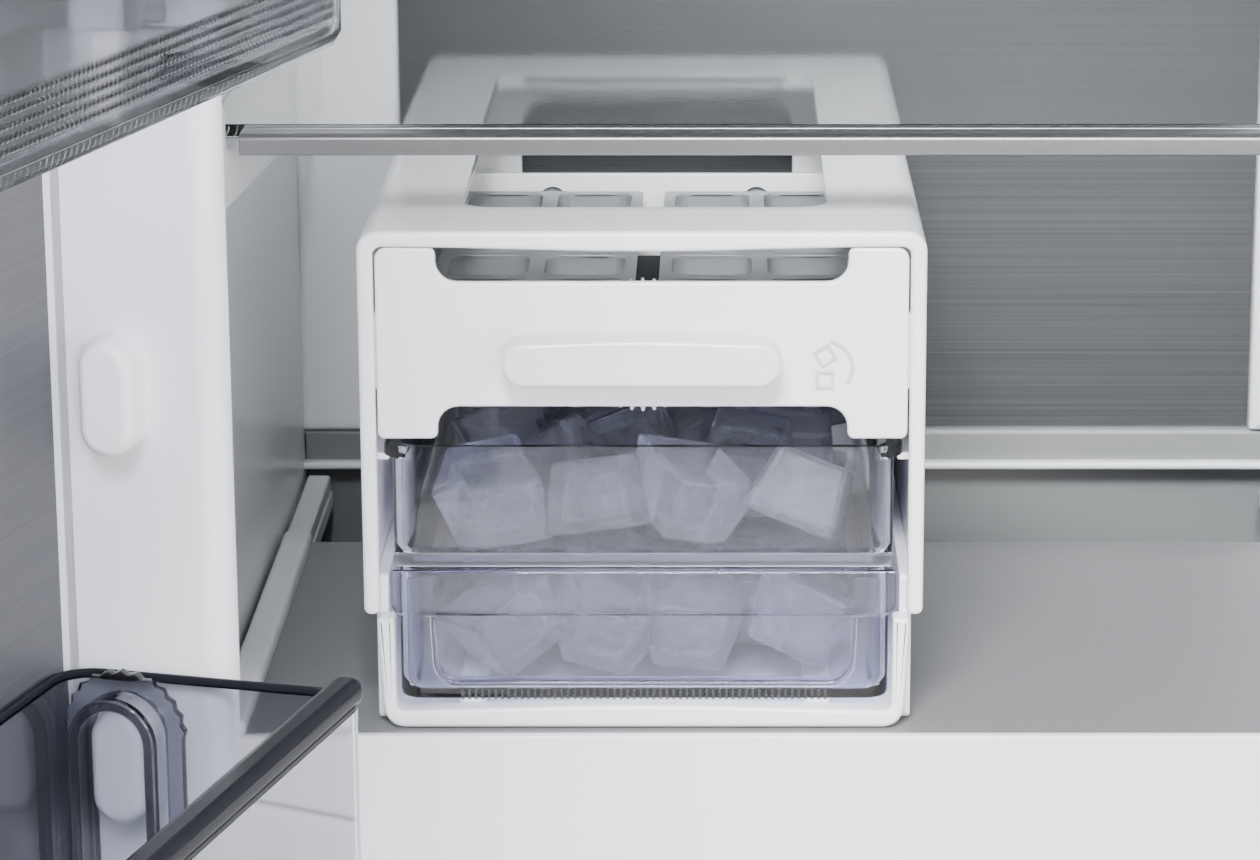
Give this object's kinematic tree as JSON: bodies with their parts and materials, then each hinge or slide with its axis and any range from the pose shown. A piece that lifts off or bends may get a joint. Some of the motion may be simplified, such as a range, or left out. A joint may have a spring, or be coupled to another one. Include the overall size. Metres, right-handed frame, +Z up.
{
  "type": "side by side refrigerator",
  "caption": "Tall side by side refrigerator with open doors, clear door bins, glass shelves, drawers and a twist-knob ice maker with buckets on a freezer deck.",
  "frame": {"origin": "on the floor, midway across the steel case and midway between its back and the open doors' front edges", "axes": "+X to the right seen from the front, +Y to the back, +Z up"},
  "size_m": [1.1549, 1.1482, 1.778],
  "materials": {
    "painted_steel": "satin",
    "galvanised_steel": "satin",
    "foam": "matte",
    "liner_white": "semi gloss",
    "ice_white": "semi gloss",
    "tray_white": "translucent",
    "clear_violet": "clear",
    "smoky_clear": "clear",
    "dark_rim": "gloss",
    "brushed_dark": "brushed",
    "satin_aluminium": "satin",
    "shelf_glass": "clear",
    "deck_grey": "satin",
    "black_metal": "satin",
    "dark_plastic": "matte",
    "gasket_grey": "matte",
    "roller_rubber": "matte",
    "lens_white": "frosted",
    "zinc": "zinc plated"
  },
  "bodies": {
    "cabinet": {"outer_case": "painted_steel", "rear_panel": "galvanised_steel", "front_frame": "liner_white", "insulation_foam": "foam", "freezer_liner": "liner_white", "fridge_liner": "liner_white", "base_frame": "galvanised_steel", "toe_grille": "dark_plastic", "machine_room_cover": "galvanised_steel", "compressor": "black_metal", "condenser_coil": "black_metal", "power_inlet": "dark_plastic", "evaporator_coil": "satin_aluminium", "evaporator_cover": "liner_white", "freezer_rear_panel": "brushed_dark", "fridge_duct_cover": "liner_white", "lamp_lenses": "lens_white", "door_hinges": "zinc", "hinge_covers": "dark_plastic", "freezer_shelf_glass": "shelf_glass", "freezer_shelf_trims": "satin_aluminium", "ice_deck": "deck_grey", "fridge_shelf_glass": "shelf_glass", "fridge_shelf_trims": "satin_aluminium"},
    "freezer_door": {"freezer_door_skin": "painted_steel", "freezer_door_foam": "foam", "freezer_door_liner": "liner_white", "freezer_door_panel": "brushed_dark", "freezer_door_gasket": "gasket_grey", "freezer_door_grip": "satin_aluminium", "freezer_door_caps": "dark_plastic", "freezer_door_bins": "smoky_clear", "freezer_bin_rims": "dark_rim"},
    "fridge_door": {"fridge_door_skin": "painted_steel", "fridge_door_foam": "foam", "fridge_door_liner": "liner_white", "fridge_door_gasket": "gasket_grey", "fridge_door_grip": "satin_aluminium", "fridge_door_caps": "dark_plastic", "fridge_door_bins": "smoky_clear"},
    "ice_maker": {"ice_housing": "ice_white", "ice_cradle": "ice_white", "ice_front_panel": "ice_white"},
    "freezer_drawer_upper": {"freezer_drawer_upper": "liner_white"},
    "freezer_drawer_middle": {"freezer_drawer_middle": "liner_white"},
    "freezer_drawer_lower": {"freezer_drawer_lower": "liner_white"},
    "crisper_upper": {"crisper_upper": "smoky_clear"},
    "crisper_lower": {"crisper_lower": "smoky_clear"},
    "twist_knob": {"twist_knob": "ice_white"},
    "ice_tray_left": {"ice_tray_left": "tray_white"},
    "ice_tray_right": {"ice_tray_right": "tray_white"},
    "ice_bucket_upper": {"ice_bucket_upper": "clear_violet"},
    "ice_bucket_lower": {"ice_bucket_lower": "clear_violet"},
    "condenser_fan": {"condenser_fan": "dark_plastic"},
    "evaporator_fan": {"evaporator_fan": "dark_plastic"},
    "rear_roller_left": {"rear_roller_left": "roller_rubber"},
    "rear_roller_right": {"rear_roller_right": "roller_rubber"},
    "levelling_foot_left": {"levelling_foot_left": "zinc"},
    "levelling_foot_right": {"levelling_foot_right": "zinc"}
  },
  "joints": [
    {"name": "freezer_door_swing", "type": "hinge", "parent": "cabinet", "child": "freezer_door", "pos_m": [-0.442, -0.096, 0.9], "axis": [0, 0, -1], "range_deg": [-105, 15]},
    {"name": "fridge_door_swing", "type": "hinge", "parent": "cabinet", "child": "fridge_door", "pos_m": [0.442, -0.096, 0.9], "axis": [0, 0, 1], "range_deg": [-102, 18]},
    {"name": "freezer_drawer_upper_slide", "type": "slide", "parent": "cabinet", "child": "freezer_drawer_upper", "axis": [0, -1, 0], "range_m": [0, 0.16]},
    {"name": "freezer_drawer_middle_slide", "type": "slide", "parent": "cabinet", "child": "freezer_drawer_middle", "axis": [0, -1, 0], "range_m": [0, 0.16]},
    {"name": "freezer_drawer_lower_slide", "type": "slide", "parent": "cabinet", "child": "freezer_drawer_lower", "axis": [0, -1, 0], "range_m": [0, 0.16]},
    {"name": "crisper_upper_slide", "type": "slide", "parent": "cabinet", "child": "crisper_upper", "axis": [0, -1, 0], "range_m": [0, 0.15]},
    {"name": "crisper_lower_slide", "type": "slide", "parent": "cabinet", "child": "crisper_lower", "axis": [0, -1, 0], "range_m": [0, 0.15]},
    {"name": "ice_maker_slide", "type": "slide", "parent": "cabinet", "child": "ice_maker", "axis": [0, -1, 0], "range_m": [0, 0.12]},
    {"name": "ice_bucket_upper_slide", "type": "slide", "parent": "ice_maker", "child": "ice_bucket_upper", "axis": [0, -1, 0], "range_m": [0, 0.12]},
    {"name": "ice_bucket_lower_slide", "type": "slide", "parent": "ice_maker", "child": "ice_bucket_lower", "axis": [0, -1, 0], "range_m": [0, 0.12]},
    {"name": "knob_twist", "type": "hinge", "parent": "ice_maker", "child": "twist_knob", "pos_m": [-0.292, 0.1, 0.9113], "axis": [0, 1, 0], "range_deg": [0, 106], "stiffness_Nm_per_rad": 0.15},
    {"name": "tray_left_turn", "type": "hinge", "parent": "ice_maker", "child": "ice_tray_left", "pos_m": [-0.326, 0.2, 0.9113], "axis": [0, 1, 0], "range_deg": [-120, 0]},
    {"name": "tray_right_turn", "type": "hinge", "parent": "ice_maker", "child": "ice_tray_right", "pos_m": [-0.258, 0.2, 0.9113], "axis": [0, 1, 0], "range_deg": [-120, 0]},
    {"name": "condenser_fan_spin", "type": "hinge", "parent": "cabinet", "child": "condenser_fan", "pos_m": [0.044, 0.455, 0.165], "axis": [1, 0, 0], "continuous": true},
    {"name": "evaporator_fan_spin", "type": "hinge", "parent": "cabinet", "child": "evaporator_fan", "pos_m": [-0.243, 0.409, 1.42], "axis": [0, 1, 0], "continuous": true},
    {"name": "rear_roller_left_spin", "type": "hinge", "parent": "cabinet", "child": "rear_roller_left", "pos_m": [-0.4, 0.525, 0.02], "axis": [1, 0, 0], "continuous": true},
    {"name": "rear_roller_right_spin", "type": "hinge", "parent": "cabinet", "child": "rear_roller_right", "pos_m": [0.4, 0.525, 0.02], "axis": [1, 0, 0], "continuous": true},
    {"name": "levelling_foot_left_turn", "type": "hinge", "parent": "cabinet", "child": "levelling_foot_left", "pos_m": [-0.4, 0.005, 0.02], "axis": [0, 0, 1], "continuous": true},
    {"name": "levelling_foot_right_turn", "type": "hinge", "parent": "cabinet", "child": "levelling_foot_right", "pos_m": [0.4, 0.005, 0.02], "axis": [0, 0, 1], "continuous": true}
  ],
  "couplings": [
    {"joint": "tray_left_turn", "follows": "knob_twist", "ratio": -1.125},
    {"joint": "tray_right_turn", "follows": "knob_twist", "ratio": -1.125}
  ]
}
